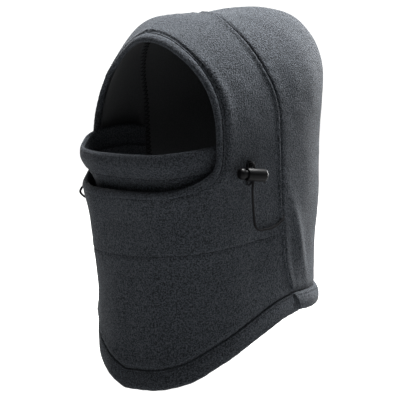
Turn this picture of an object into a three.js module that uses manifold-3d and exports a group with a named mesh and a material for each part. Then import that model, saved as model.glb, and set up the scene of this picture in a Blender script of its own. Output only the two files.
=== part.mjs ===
// Ski balaclava: fleece hood with a face opening, a pull-down mask and a cord-locked drawcord.
// Millimetres, +Z up. The face looks along -Y and the wearer's left is +X.
// Origin: the inside of the crown over the side seams, where the head carries the hood.

import * as THREE from "three";
import { mergeVertices } from "three/addons/utils/BufferGeometryUtils.js";
import Module from "manifold-3d";

// Fabric layers, from the outer face inwards.
const crownHeight = 4.5;
const fleeceThick = 2.4;
const liningOuter = -3.5;
const liningThick = 1;
const seamGap = 0.18;

// Crown profiles: the reach of each side and the depth over which it is reached.
const side = { reach: 88, drop: 112, power: 2.5 };
const back = { reach: 113, drop: 105, power: 2.9 };
const front = { reach: 120, drop: 95, power: 3.1 };

// How the section changes with depth below the crown: [depth, factor or value].
const sideTaper = [[0, 1], [100, 1], [170, 0.985], [240, 0.965], [300, 0.97], [360, 0.985]];
const backTaper = [[0, 1], [70, 1], [110, 0.985], [170, 0.965], [240, 0.935], [300, 0.925], [360, 0.93]];
const frontTaper = [[0, 1], [95, 1], [165, 1.03], [200, 1.01], [260, 0.98], [300, 0.985], [355, 1]];
const frontPower = [[0, 2.6], [40, 3.5], [110, 3.8], [180, 3.4], [240, 2.8], [300, 2.4], [345, 2.2]];
const backPower = 2.2;
const tiltDegrees = [[0, 6], [60, 5], [130, 2], [180, 0], [400, 0]];
const centreShift = [[0, 16], [60, 8], [120, 0], [400, 0]];

// Face opening, as depth below the crown and turn from the front.
const opening = { centre: 123, up: 99, down: 44.5, turn: 45, upperPower: 2.2, lowerPower: 3, radius: 116 };
const bindingRadius = 2.6;
const panelMargin = 3.3;

// Side seam and lower hem: [depth, turn] and [turn, depth].
const seamTop = 0.6;
const seamLine = [
  [0.6, 0], [1.1, 18.6], [2.95, 31.4], [7, 39], [26, 56.5], [54, 70], [104, 84.5], [186, 88.5], [234, 93], [282, 107],
];
const hemLine = [[0, 343], [14, 342], [28.5, 336], [45.5, 320], [67.5, 300], [90, 286], [106, 282]];
const hemHeight = 19;
const cornerDepth = 263;
const hemBottom = 282;

// Mask: top edge, lower stitch line [turn, depth] and the lift of its outer face [turn, lift].
const mask = {
  reach: 80,
  thick: 2.6,
  top: [[0, 126], [20, 125], [45, 118], [85, 112]],
  bottom: [[0, 218], [36, 214], [90, 205]],
  topLift: [[0, 1], [28, 0.5], [38, -4], [45, -7.5], [62, -9.4], [86, -8]],
  lipLift: [[0, -12.5], [45, -12], [62, -10.4], [86, -8]],
  footLift: -6,
};

// Drawcord, its channel in the lip and its spring lock.
const cordRadius = 1.1;
const channel = { reach: 65, upper: 4, lower: 16, lift: -8.4, thick: 1.1 };
const lock = {
  depth: 147, turn: 58.7, lift: 9.5, tilt: 14, droop: 5,
  barrelRadius: 5.75, barrelLength: 19.8, boreRadius: 4.1, boreLength: 18.2,
  shaftRadius: 3.8, shaftEnd: 11.4, headRadius: 5, headLength: 5.5, travel: 2.5,
  strandAt: 7.2, holeRadius: 1.7,
};
const spring = { radius: 2.8, wire: 0.28, turns: 4, clearance: 0.4 };
const buttonhole = { depth: 146.6, turn: 60.3, width: 4, height: 19.4, border: 1.7, lift: 0.4, thick: 0.8 };

// Routes of the cords. The left loop runs from its end in the side seam, through the lock and over
// its top, to the buttonhole behind it. The right loop stands further off the hood.
const lockRoute = [
  [95.63, -53.09, -143.87], [95.77, -52.67, -139.19], [95.58, -52.35, -136.8], [94.88, -51.9, -135],
  [93.28, -51.3, -134], [90.78, -50.4, -133.9], [88.68, -49.8, -135.2], [87.58, -49.8, -138.5],
  [86.18, -49.6, -141.3], [84.18, -49.2, -144.1], [82.28, -48.8, -147.1], [80.98, -48.7, -150.2],
  [80.48, -48.8, -152.8],
];
const leftLoop = [
  [87.5, -1.5, -185.5], [88.2, -6, -189.1], [88.1, -10.6, -192.1], [87.9, -19, -194.6],
  [87.8, -27, -195.1], [87.5, -34.6, -195.1], [87.6, -39.9, -192.6], [87.8, -42.6, -188.1],
  [88.6, -44.7, -180.6], [90.4, -47.6, -171.5], [93.13, -51.51, -163.41], [95.25, -54.22, -156.31],
  [95.45, -53.63, -149.84],
];
const rightLoop = [
  [-87.5, -1.5, -185.5], [-88.3, -4.2, -186.3], [-90, -9.5, -187.6], [-92.2, -16.5, -189],
  [-94.8, -25.6, -189.6], [-97.4, -37.8, -187.6], [-100.2, -51.4, -183.5], [-102.4, -64.2, -178.6],
  [-103.5, -73.4, -174.6], [-103.9, -77, -170.2], [-102.7, -75, -165.8], [-99.85, -63.82, -162.51],
  [-96.95, -57.82, -160.51], [-95.5, -54.97, -158.31], [-95.25, -54.22, -156.31],
  [-95.45, -53.63, -149.84],
];
const lipHalf = [
  [80.38, -48.8, -153.2], [80.18, -49.1, -154.6], [79.77, -51.38, -156.27], [78.79, -57.8, -156.55],
  [77.19, -67.2, -157.5], [73.88, -80.91, -159.45], [68, -93.8, -163.9], [49.8, -110.3, -170.2],
  [25.5, -116, -172.2], [0, -116.5, -172.5],
];

const seamSteps = 20;
const hemSteps = 9;
const panelRows = 6;

const backColumns = 14;

const fleeceColour = 0x5b6067;
const innerColour = 0x1b1c1f;
const threadColour = 0x2a2c30;
const plasticColour = 0x0b0b0c;
const steelColour = 0xb4b6b8;

const degree = Math.PI / 180;
const wasm = await Module();
wasm.setup();

const balaclava = new THREE.Group();

// ---- numbers ----

// Smooth curve through [x, y] points that never overshoots them.
function along(points, x) {
  const last = points.length - 1;
  if (x <= points[0][0]) return points[0][1];
  if (x >= points[last][0]) return points[last][1];
  const slope = (k) => (points[k + 1][1] - points[k][1]) / (points[k + 1][0] - points[k][0]);
  const tangent = (k) => {
    if (k === 0) return slope(0);
    if (k === last) return slope(last - 1);
    const before = slope(k - 1);
    const after = slope(k);
    return before * after <= 0 ? 0 : (2 * before * after) / (before + after);
  };
  let k = 0;
  while (points[k + 1][0] < x) k += 1;
  const span = points[k + 1][0] - points[k][0];
  const t = (x - points[k][0]) / span;
  const start = (2 * t ** 3 - 3 * t ** 2 + 1) * points[k][1] + (t ** 3 - 2 * t ** 2 + t) * span * tangent(k);
  const end = (3 * t ** 2 - 2 * t ** 3) * points[k + 1][1] + (t ** 3 - t ** 2) * span * tangent(k + 1);
  return start + end;
}

function mix(a, b, t) {
  return a + (b - a) * t;
}

function signedPower(value, power) {
  return Math.sign(value) * Math.abs(value) ** power;
}

// ---- the hood's outer surface ----

function reachAt(profile, taper, depth) {
  const t = Math.min(Math.max(depth / profile.drop, 0), 1);
  const rounded = (1 - (1 - t) ** profile.power) ** (1 / profile.power);
  return profile.reach * rounded * along(taper, depth);
}

// Point on the outer surface. Turn is an angle in radians: 0 in front, a quarter turn on the left.
function surfacePoint(depth, turn) {
  const tilt = along(tiltDegrees, depth) * degree;
  const shift = along(centreShift, depth);
  if (depth <= 0) return new THREE.Vector3(0, shift, crownHeight);
  const forward = Math.cos(turn);
  const sideways = Math.sin(turn);
  const power = forward > 0 ? along(frontPower, depth) : backPower;
  const length = forward > 0 ? reachAt(front, frontTaper, depth) : reachAt(back, backTaper, depth);
  const width = reachAt(side, sideTaper, depth);
  const sum = Math.abs(sideways / width) ** power + Math.abs(forward / length) ** power;
  const radius = sum ** (-1 / power);
  const x = radius * sideways;
  const y = -radius * forward;
  return new THREE.Vector3(x, y * Math.cos(tilt) + shift, crownHeight - depth + y * Math.sin(tilt));
}

function surfaceNormal(depth, turn) {
  if (depth < 0.3) {
    const tilt = along(tiltDegrees, 0) * degree;
    return new THREE.Vector3(0, -Math.sin(tilt), Math.cos(tilt));
  }
  const stepDown = Math.min(0.4, depth / 4);
  const stepRound = 0.01;
  const down = surfacePoint(depth + stepDown, turn).sub(surfacePoint(depth - stepDown, turn));
  const round = surfacePoint(depth, turn + stepRound).sub(surfacePoint(depth, turn - stepRound));
  return round.cross(down).normalize().negate();
}

// Point at a lift above the outer surface; a negative lift is inside the hood.
function skin(depth, turn, lift) {
  return surfacePoint(depth, turn).addScaledVector(surfaceNormal(depth, turn), lift);
}

// ---- outlines on that surface ----

function openingAt(angle, margin) {
  const power = Math.cos(angle) > 0 ? opening.upperPower : opening.lowerPower;
  const sine = signedPower(Math.sin(angle), 2 / power);
  const cosine = signedPower(Math.cos(angle), 2 / power);
  const drop = cosine > 0 ? opening.up + margin : opening.down + margin;
  return { depth: opening.centre - drop * cosine, turn: (opening.turn * degree + margin / opening.radius) * sine };
}

function seamTurn(depth) {
  const roots = seamLine.map(([level, turn]) => [Math.sqrt(level - seamTop), turn]);
  return along(roots, Math.sqrt(Math.max(depth - seamTop, 0))) * degree;
}

// Station down the side seam, 0 at the crown and 1 at the hem band.
function seamDepth(station) {
  return mix(Math.sqrt(seamTop), Math.sqrt(cornerDepth), station) ** 2;
}

// Outer edge of the front panel from the top of the crown (0) to the middle of the hem band (1).
function frontEdge(station, margin) {
  const share = seamSteps / (seamSteps + hemSteps);
  const shrink = margin / side.reach;
  if (station <= share) {
    const depth = seamDepth(station / share);
    const eased = (Math.sqrt(depth) + margin * 0.07) ** 2;
    return { depth: Math.min(eased, cornerDepth - margin), turn: Math.max(seamTurn(depth) - shrink, 0) };
  }
  const rest = (1 - station) / (1 - share);
  const turn = rest * seamTurn(cornerDepth);
  const level = along(hemLine, (rest * 106)) - hemHeight;
  return { depth: level - margin, turn: Math.max(turn - shrink * rest, 0) };
}

// ---- bodies ----

// Closed geometry from loose triangles: welds them and drops the ones that vanish or cancel out.
function closeUp(positions, triangles) {
  const loose = new THREE.BufferGeometry();
  loose.setAttribute("position", new THREE.Float32BufferAttribute(positions, 3));
  loose.setIndex(triangles);
  const welded = mergeVertices(loose, 1e-3);
  const corners = welded.index.array;
  const kept = new Map();
  for (let k = 0; k < corners.length; k += 3) {
    const face = [corners[k], corners[k + 1], corners[k + 2]];
    if (face[0] === face[1] || face[1] === face[2] || face[2] === face[0]) continue;
    const key = [...face].sort((a, b) => a - b).join(" ");
    if (kept.has(key)) kept.delete(key);
    else kept.set(key, face);
  }
  const faces = [...kept.values()];
  const place = welded.attributes.position;
  const corner = (index) => new THREE.Vector3().fromBufferAttribute(place, index);
  let volume = 0;
  for (const [a, b, c] of faces) volume += corner(a).dot(corner(b).cross(corner(c)));
  const outward = volume > 0 ? faces : faces.map(([a, b, c]) => [a, c, b]);
  welded.setIndex(outward.flat());
  return welded;
}

// Sheet of cloth with thickness: pointAt(row, column, face) with row and column from 0 to 1.
function sheet(rows, columns, pointAt) {
  const positions = [];
  for (let face = 0; face < 2; face += 1) {
    for (let row = 0; row <= rows; row += 1) {
      for (let column = 0; column <= columns; column += 1) {
        positions.push(...pointAt(row / rows, column / columns, face).toArray());
      }
    }
  }
  const layer = (rows + 1) * (columns + 1);
  const index = (row, column, face) => face * layer + row * (columns + 1) + column;
  const triangles = [];
  const quad = (a, b, c, d) => triangles.push(a, b, c, a, c, d);
  for (let row = 0; row < rows; row += 1) {
    for (let column = 0; column < columns; column += 1) {
      const corners = [[row, column], [row, column + 1], [row + 1, column + 1], [row + 1, column]];
      quad(...corners.map(([r, c]) => index(r, c, 0)));
      quad(...corners.reverse().map(([r, c]) => index(r, c, 1)));
    }
  }
  for (let row = 0; row < rows; row += 1) {
    quad(index(row, 0, 0), index(row + 1, 0, 0), index(row + 1, 0, 1), index(row, 0, 1));
    triangles.push(index(row, columns, 0), index(row + 1, columns, 1), index(row + 1, columns, 0));
    triangles.push(index(row, columns, 0), index(row, columns, 1), index(row + 1, columns, 1));
  }
  for (let column = 0; column < columns; column += 1) {
    quad(index(0, column, 0), index(0, column, 1), index(0, column + 1, 1), index(0, column + 1, 0));
    quad(index(rows, column, 0), index(rows, column + 1, 0), index(rows, column + 1, 1), index(rows, column, 1));
  }
  return closeUp(positions, triangles);
}

function toSolid(geometry) {
  const bare = geometry.clone();
  bare.deleteAttribute("normal");
  bare.deleteAttribute("uv");
  const welded = mergeVertices(bare, 1e-4);
  const vertProperties = new Float32Array(welded.attributes.position.array);
  const triVerts = new Uint32Array(welded.index.array);
  return new wasm.Manifold(new wasm.Mesh({ numProp: 3, vertProperties, triVerts }));
}

function fromSolid(solid) {
  const result = solid.getMesh();
  const geometry = new THREE.BufferGeometry();
  geometry.setAttribute("position", new THREE.BufferAttribute(result.vertProperties, 3));
  geometry.setIndex(new THREE.BufferAttribute(result.triVerts, 1));
  return geometry;
}

function cut(geometry, cutters) {
  let solid = toSolid(geometry);
  for (const cutter of cutters) solid = solid.subtract(toSolid(cutter));
  return fromSolid(solid);
}

function finish(colour, roughness, metalness = 0) {
  return new THREE.MeshStandardMaterial({ color: colour, roughness, metalness });
}

function add(name, geometry, material, frame = null) {
  const mesh = new THREE.Mesh(geometry, material);
  mesh.name = name;
  if (frame) mesh.applyMatrix4(frame);
  balaclava.add(mesh);
}

// ---- hood panels and linings ----

function frontSheet(outerLift, thickness, openingMargin, edgeMargin) {
  return sheet(panelRows, 2 * (seamSteps + hemSteps), (row, column, face) => {
    const mirror = column > 0.5 ? -1 : 1;
    const station = column > 0.5 ? 2 - 2 * column : 2 * column;
    const inner = openingAt(station * Math.PI, openingMargin);
    const outer = frontEdge(station, edgeMargin);
    const depth = mix(Math.sqrt(inner.depth), Math.sqrt(outer.depth), row) ** 2;
    const turn = mix(inner.turn, outer.turn, row) * mirror;
    return skin(depth, turn, outerLift - face * thickness);
  });
}

// The back piece covers the crown from the side seams backwards and hangs down to the nape.
function backSheet(outerLift, thickness, edgeMargin) {
  const capRows = 2;
  const rows = capRows + seamSteps;
  return sheet(rows, backColumns, (row, column, face) => {
    const step = Math.round(row * rows);
    const station = Math.max(step - capRows, 0) / seamSteps;
    const seam = seamDepth(station);
    const eased = (Math.sqrt(seam) - edgeMargin * 0.07 * (1 - station)) ** 2;
    const depth = step < capRows ? (step / capRows) ** 2 * eased : Math.min(eased, cornerDepth - edgeMargin);
    const edge = station > 0 ? seamTurn(seam) + edgeMargin / side.reach : 0;
    const turn = mix(edge, 2 * Math.PI - edge, column);
    return skin(depth, turn, outerLift - face * thickness);
  });
}

// ---- hems ----

function frontHem() {
  return sheet(3, 2 * hemSteps, (row, column, face) => {
    const across = 2 * column - 1;
    const level = along(hemLine, Math.abs(across) * 106);
    const depth = level - hemHeight * (1 - row) + 0.3 * (1 - row);
    const seam = seamTurn(mix(cornerDepth, hemBottom, row)) - seamGap / side.reach;
    return skin(depth, across * seam, 1.2 - face * 6.4);
  });
}

function backHem() {
  return sheet(3, backColumns, (row, column, face) => {
    const depth = mix(cornerDepth + 0.3, hemBottom, row);
    const edge = seamTurn(mix(cornerDepth, hemBottom, row)) + seamGap / side.reach;
    return skin(depth, mix(edge, 2 * Math.PI - edge, column), 2.2 - face * 7.4);
  });
}

// ---- mask, opening edge and cord channel ----

function faceMask() {
  return sheet(7, 20, (row, column, face) => {
    const across = mask.reach * (2 * column - 1);
    const reach = Math.abs(across);
    const depth = mix(along(mask.top, reach), along(mask.bottom, reach), row);
    const lift = along([[0, along(mask.topLift, reach)], [0.45, along(mask.lipLift, reach)], [1, mask.footLift]], row);
    return skin(depth, across * degree, lift - face * mask.thick);
  });
}

// Rolled edge all round the face opening: a closed round tube.
function openingBinding() {
  const sides = 8;
  return sheet(sides / 2, 44, (row, column, face) => {
    const angle = column * 2 * Math.PI;
    const around = Math.PI * (face === 0 ? row : -row);
    const outward = bindingRadius * Math.cos(around);
    const place = openingAt(angle, outward);
    return skin(place.depth, place.turn, -fleeceThick / 2 + bindingRadius * Math.sin(around));
  });
}

function cordChannel() {
  return sheet(2, 18, (row, column, face) => {
    const angle = Math.PI + channel.reach * degree * (2 * column - 1);
    const place = openingAt(angle, mix(channel.upper, channel.lower, row));
    return skin(place.depth, place.turn, channel.lift - face * channel.thick);
  });
}

// Overlocked seam allowance: a flat ridge inside the hood along one side seam.
function seamRidge(mirror) {
  const halfWidth = 3.6;
  return sheet(22, 1, (row, column, face) => {
    const depth = mix(Math.sqrt(4), Math.sqrt(cornerDepth - 2), row) ** 2;
    const turn = seamTurn(depth) + ((2 * column - 1) * halfWidth) / side.reach;
    return skin(depth, mirror * turn, -5.2 - face * 1.8);
  });
}

// ---- drawcord ----

function roundSection(radius, sides) {
  const shape = new THREE.Shape();
  for (let k = 0; k < sides; k += 1) {
    const angle = (k / sides) * 2 * Math.PI;
    const move = k === 0 ? "moveTo" : "lineTo";
    shape[move](radius * Math.cos(angle), radius * Math.sin(angle));
  }
  return shape;
}

function cord(points, steps) {
  const path = new THREE.CatmullRomCurve3(points.map((point) => new THREE.Vector3(...point)), false, "centripetal");
  return new THREE.ExtrudeGeometry(roundSection(cordRadius, 8), { steps, bevelEnabled: false, extrudePath: path });
}

function mirrored(points) {
  return points.map(([x, y, z]) => [-x, y, z]);
}

// ---- cord locks ----

// Local frame of a lock: X from the button to the closed end, Z along the strand.
function lockFrame(mirror) {
  const turn = lock.turn * degree * mirror;
  const outward = surfaceNormal(lock.depth, turn);
  const up = new THREE.Vector3(0, 0, 1);
  const backwards = new THREE.Vector3(-outward.y, outward.x, 0).normalize().multiplyScalar(mirror);
  const axis = backwards.multiplyScalar(Math.cos(lock.tilt * degree));
  axis.addScaledVector(outward, Math.sin(lock.tilt * degree)).normalize();
  axis.multiplyScalar(Math.cos(lock.droop * degree)).addScaledVector(up, -Math.sin(lock.droop * degree));
  const strand = up.clone().addScaledVector(axis, -up.dot(axis) / axis.lengthSq()).normalize();
  axis.normalize();
  const across = strand.clone().cross(axis);
  const frame = new THREE.Matrix4().makeBasis(axis, across, strand);
  const origin = skin(lock.depth, turn, lock.lift).addScaledVector(axis, -lock.strandAt);
  return frame.setPosition(origin);
}

// Turned shape about the local X axis from [radius, along] points.
function turned(outline, segments) {
  const profile = outline.map(([radius, length]) => new THREE.Vector2(radius, length));
  const lathe = new THREE.LatheGeometry(profile, segments);
  lathe.deleteAttribute("normal");
  lathe.deleteAttribute("uv");
  lathe.rotateZ(-Math.PI / 2);
  return closeUp([...lathe.attributes.position.array], [...lathe.index.array]);
}

function lockBarrel() {
  const { barrelRadius, barrelLength, boreRadius, boreLength, strandAt, holeRadius } = lock;
  const lip = 0.6;
  const shell = turned([
    [0, boreLength], [boreRadius, boreLength], [boreRadius, lip], [boreRadius + lip / 2, 0],
    [barrelRadius - lip, 0], [barrelRadius, lip], [barrelRadius, barrelLength - 2.2],
    [barrelRadius - 0.7, barrelLength - 0.7], [barrelRadius - 2.2, barrelLength], [0, barrelLength],
  ], 24);
  const hole = new THREE.CylinderGeometry(holeRadius, holeRadius, 3 * barrelRadius, 12);
  hole.rotateX(Math.PI / 2).translate(strandAt, 0, 0);
  return cut(shell, [hole]);
}

function lockPlunger() {
  const { shaftRadius, shaftEnd, headRadius, headLength, travel, strandAt, holeRadius } = lock;
  const shoulder = -travel - 0.2;
  const face = shoulder - headLength;
  const body = turned([
    [0, face], [headRadius - 1.6, face + 0.2], [headRadius - 0.4, face + 1.1], [headRadius, face + 2.2],
    [headRadius, shoulder - 0.5], [headRadius - 0.5, shoulder], [shaftRadius, shoulder],
    [shaftRadius, shaftEnd], [0, shaftEnd],
  ], 24);
  const slotLength = 2 * holeRadius + travel;
  const slot = new THREE.BoxGeometry(slotLength, 2 * holeRadius, 4 * shaftRadius);
  slot.translate(strandAt - travel / 2, 0, 0);
  return cut(body, [slot]);
}

class Helix extends THREE.Curve {
  getPoint(t, target = new THREE.Vector3()) {
    const start = lock.shaftEnd + spring.clearance;
    const end = lock.boreLength - spring.clearance;
    const angle = spring.turns * 2 * Math.PI * t;
    return target.set(mix(start, end, t), spring.radius * Math.cos(angle), spring.radius * Math.sin(angle));
  }
}

function lockSpring() {
  const options = { steps: spring.turns * 8, bevelEnabled: false, extrudePath: new Helix() };
  return new THREE.ExtrudeGeometry(roundSection(spring.wire, 5), options);
}

// ---- buttonholes ----

// Frame on the fabric at the buttonhole: X round the hood, Y up, Z outwards.
function buttonholeFrame(mirror) {
  const turn = buttonhole.turn * degree * mirror;
  const outward = surfaceNormal(buttonhole.depth, turn);
  const round = new THREE.Vector3(-outward.y, outward.x, 0).normalize();
  const frame = new THREE.Matrix4().makeBasis(round, outward.clone().cross(round), outward);
  return frame.setPosition(skin(buttonhole.depth, turn, 0));
}

function slotOutline(width, height, target) {
  const radius = width / 2;
  const straight = height / 2 - radius;
  target.absarc(0, straight, radius, 0, Math.PI, false);
  target.absarc(0, -straight, radius, Math.PI, 2 * Math.PI, false);
  return target;
}

function buttonholeCutter(mirror) {
  const shape = slotOutline(buttonhole.width, buttonhole.height, new THREE.Shape());
  const cutter = new THREE.ExtrudeGeometry(shape, { depth: 20, bevelEnabled: false, curveSegments: 4 });
  return cutter.translate(0, 0, -12).applyMatrix4(buttonholeFrame(mirror));
}

function buttonholeBorder() {
  const { width, height, border, lift, thick } = buttonhole;
  const shape = slotOutline(width + 2 * border, height + 2 * border, new THREE.Shape());
  shape.holes.push(slotOutline(width, height, new THREE.Path()));
  const ring = new THREE.ExtrudeGeometry(shape, { depth: thick, bevelEnabled: false, curveSegments: 4 });
  return ring.translate(0, 0, lift);
}

// ---- assembly ----

const cutters = [buttonholeCutter(1), buttonholeCutter(-1)];
const fleece = () => finish(fleeceColour, 0.95);
const inner = () => finish(innerColour, 0.9);

add("front_panel", cut(frontSheet(0, fleeceThick, panelMargin, seamGap), cutters), fleece());
add("back_panel", backSheet(0, fleeceThick, seamGap), fleece());
add("front_lining", cut(frontSheet(liningOuter, liningThick, panelMargin + 1, 1.2), cutters), inner());
add("back_lining", backSheet(liningOuter, liningThick, 1.2), inner());
add("front_hem", frontHem(), fleece());
add("back_hem", backHem(), fleece());
add("face_mask", faceMask(), fleece());
add("face_opening_binding", openingBinding(), fleece());
add("drawcord_channel", cordChannel(), inner());
add("lip_cord", cord([...lipHalf, ...mirrored(lipHalf).reverse().slice(1)], 36), finish(plasticColour, 0.5));

for (const [label, mirror, loop] of [["left", 1, leftLoop], ["right", -1, rightLoop]]) {
  const route = [...loop, ...(mirror > 0 ? lockRoute : mirrored(lockRoute))];
  const frame = lockFrame(mirror);
  add(`${label}_seam_overlock`, seamRidge(mirror), finish(threadColour, 0.85));
  add(`${label}_buttonhole`, buttonholeBorder(), finish(threadColour, 0.8), buttonholeFrame(mirror));
  add(`${label}_cord_loop`, cord(route, 60), finish(plasticColour, 0.5));
  add(`${label}_lock_barrel`, lockBarrel(), finish(plasticColour, 0.3), frame);
  add(`${label}_lock_plunger`, lockPlunger(), finish(plasticColour, 0.3), frame);
  add(`${label}_lock_spring`, lockSpring(), finish(steelColour, 0.35, 0.9), frame);
}

export default balaclava;
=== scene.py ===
import math

import bmesh
import bpy
import numpy as np
from mathutils import Matrix, Vector


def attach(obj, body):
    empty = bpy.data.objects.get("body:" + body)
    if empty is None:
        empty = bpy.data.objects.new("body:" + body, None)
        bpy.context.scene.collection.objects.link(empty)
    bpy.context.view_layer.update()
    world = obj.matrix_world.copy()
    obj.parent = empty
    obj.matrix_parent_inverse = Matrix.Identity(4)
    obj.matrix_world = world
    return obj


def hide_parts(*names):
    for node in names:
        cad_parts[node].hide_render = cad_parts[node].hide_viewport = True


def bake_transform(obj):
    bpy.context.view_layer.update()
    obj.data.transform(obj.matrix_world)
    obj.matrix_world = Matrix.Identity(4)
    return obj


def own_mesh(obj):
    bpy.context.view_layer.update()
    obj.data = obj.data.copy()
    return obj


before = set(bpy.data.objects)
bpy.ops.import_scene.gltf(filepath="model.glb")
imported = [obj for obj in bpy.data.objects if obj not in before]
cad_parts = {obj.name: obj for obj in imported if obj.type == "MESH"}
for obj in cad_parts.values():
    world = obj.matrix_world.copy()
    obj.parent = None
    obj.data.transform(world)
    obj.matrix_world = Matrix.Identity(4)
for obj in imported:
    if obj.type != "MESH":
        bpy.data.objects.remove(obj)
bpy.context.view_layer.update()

degree = math.pi / 180
print("frame loaded")

# the hood's shape, in metres: the same outer surface as the frame
hoodShape = {
    "crown": 0.0045,
    "side": (0.088, 0.112, 2.5),   # reach, depth over which it is reached, roundness
    "back": (0.113, 0.105, 2.9),
    "front": (0.120, 0.095, 3.1),
    "sideTaper": [(0, 1), (0.1, 1), (0.17, 0.985), (0.24, 0.965), (0.3, 0.97), (0.36, 0.985)],
    "backTaper": [(0, 1), (0.07, 1), (0.11, 0.985), (0.17, 0.965), (0.24, 0.935), (0.3, 0.925), (0.36, 0.93)],
    "frontTaper": [(0, 1), (0.095, 1), (0.165, 1.03), (0.2, 1.01), (0.26, 0.98), (0.3, 0.985), (0.355, 1)],
    "frontPower": [(0, 2.6), (0.04, 3.5), (0.11, 3.8), (0.18, 3.4), (0.24, 2.8), (0.3, 2.4), (0.345, 2.2)],
    "backPower": 2.2,
    "tilt": [(0, 6), (0.06, 5), (0.13, 2), (0.18, 0), (0.4, 0)],
    "shift": [(0, 0.016), (0.06, 0.008), (0.12, 0), (0.4, 0)],
}

outlines = {
    "centre": 0.123, "up": 0.099, "down": 0.0445, "turn": 45 * degree,
    "upperPower": 2.2, "lowerPower": 3.0, "radius": 0.116,
    "seamTop": 0.0006, "corner": 0.263, "bottom": 0.282, "hem": 0.019,
    "seam": [(0.0006, 0), (0.0011, 18.6), (0.00295, 31.4), (0.007, 39), (0.026, 56.5), (0.054, 70),
             (0.104, 84.5), (0.186, 88.5), (0.234, 93), (0.282, 107)],
    "hemLine": [(0, 0.343), (14, 0.342), (28.5, 0.336), (45.5, 0.32), (67.5, 0.3), (90, 0.286), (106, 0.282)],
}


def smoothTable(points, x):
    # monotone curve through a few points
    px = np.array([p[0] for p in points], float)
    py = np.array([p[1] for p in points], float)
    span = np.diff(px)
    slope = np.diff(py) / span
    tangent = np.zeros_like(py)
    tangent[0], tangent[-1] = slope[0], slope[-1]
    before, after = slope[:-1], slope[1:]
    agree = before * after > 0
    total = np.where(agree, before + after, 1)
    tangent[1:-1] = np.where(agree, 2 * before * after / total, 0)
    x = np.clip(np.asarray(x, float), px[0], px[-1])
    k = np.clip(np.searchsorted(px, x, side="right") - 1, 0, len(px) - 2)
    t = (x - px[k]) / span[k]
    start = (2 * t**3 - 3 * t**2 + 1) * py[k] + (t**3 - 2 * t**2 + t) * span[k] * tangent[k]
    end = (3 * t**2 - 2 * t**3) * py[k + 1] + (t**3 - t**2) * span[k] * tangent[k + 1]
    return start + end


def reachAt(profile, taper, depth):
    reach, drop, power = profile
    t = np.clip(depth / drop, 0, 1)
    return reach * (1 - (1 - t) ** power) ** (1 / power) * smoothTable(taper, depth)


def surfacePoint(depth, turn):
    depth = np.maximum(np.asarray(depth, float), 1e-9)
    turn = np.asarray(turn, float)
    forward, sideways = np.cos(turn), np.sin(turn)
    ahead = forward > 0
    power = np.where(ahead, smoothTable(hoodShape["frontPower"], depth), hoodShape["backPower"])
    frontReach = reachAt(hoodShape["front"], hoodShape["frontTaper"], depth)
    backReach = reachAt(hoodShape["back"], hoodShape["backTaper"], depth)
    length = np.where(ahead, frontReach, backReach)
    width = reachAt(hoodShape["side"], hoodShape["sideTaper"], depth)
    radius = (np.abs(sideways / width) ** power + np.abs(forward / length) ** power) ** (-1 / power)
    tilt = smoothTable(hoodShape["tilt"], depth) * degree
    y = -radius * forward
    lean = y * np.cos(tilt) + smoothTable(hoodShape["shift"], depth)
    return np.stack([radius * sideways, lean, hoodShape["crown"] - depth + y * np.sin(tilt)], -1)


def surfaceNormal(depth, turn):
    depth = np.maximum(np.asarray(depth, float), 1e-9)
    stepDown = np.minimum(0.0004, depth / 4)
    down = surfacePoint(depth + stepDown, turn) - surfacePoint(depth - stepDown, turn)
    sideways = surfacePoint(depth, turn + 0.01) - surfacePoint(depth, turn - 0.01)
    normal = -np.cross(sideways, down)
    size = np.linalg.norm(normal, axis=-1, keepdims=True)
    normal = normal / np.maximum(size, 1e-15)
    tilt = smoothTable(hoodShape["tilt"], 0) * degree
    top = np.array([0, -math.sin(tilt), math.cos(tilt)])
    return np.where(depth[..., None] < 0.00002, top, normal)


def skin(depth, turn, lift=0.0):
    depth, turn = np.broadcast_arrays(np.asarray(depth, float), np.asarray(turn, float))
    lift = np.broadcast_to(np.asarray(lift, float), depth.shape)
    return surfacePoint(depth, turn) + surfaceNormal(depth, turn) * lift[..., None]


def makeArcTable():
    # distance over the surface from the top of the crown, on an average profile
    depth = np.linspace(0, 1, 1500) ** 3 * 0.36
    side = reachAt(hoodShape["side"], hoodShape["sideTaper"], depth)
    ends = reachAt(hoodShape["front"], hoodShape["frontTaper"], depth)
    ends = ends + reachAt(hoodShape["back"], hoodShape["backTaper"], depth)
    radius = side / 2 + ends / 4
    steps = np.hypot(np.diff(depth), np.diff(radius))
    return depth, np.concatenate([[0], np.cumsum(steps)])


arcDepth, arcLength = makeArcTable()


def arcOf(depth):
    return np.interp(depth, arcDepth, arcLength)


def depthOf(arc):
    return np.interp(arc, arcLength, arcDepth)


def openingAt(angle, margin=0.0):
    # angle 0 is the top of the face opening, pi the middle of the lip
    angle = np.asarray(angle, float)
    power = np.where(np.cos(angle) > 0, outlines["upperPower"], outlines["lowerPower"])
    sine = np.sign(np.sin(angle)) * np.abs(np.sin(angle)) ** (2 / power)
    cosine = np.sign(np.cos(angle)) * np.abs(np.cos(angle)) ** (2 / power)
    drop = np.where(cosine > 0, outlines["up"] + margin, outlines["down"] + margin)
    turn = (outlines["turn"] + margin / outlines["radius"]) * sine
    return outlines["centre"] - drop * cosine, turn


def seamTurn(depth):
    roots = [(math.sqrt(level - outlines["seamTop"]), turn) for level, turn in outlines["seam"]]
    return smoothTable(roots, np.sqrt(np.maximum(np.asarray(depth) - outlines["seamTop"], 0))) * degree


def seamDepth(station):
    low, high = arcOf(outlines["seamTop"]), arcOf(outlines["corner"])
    return depthOf(low + (high - low) * np.asarray(station))


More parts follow.
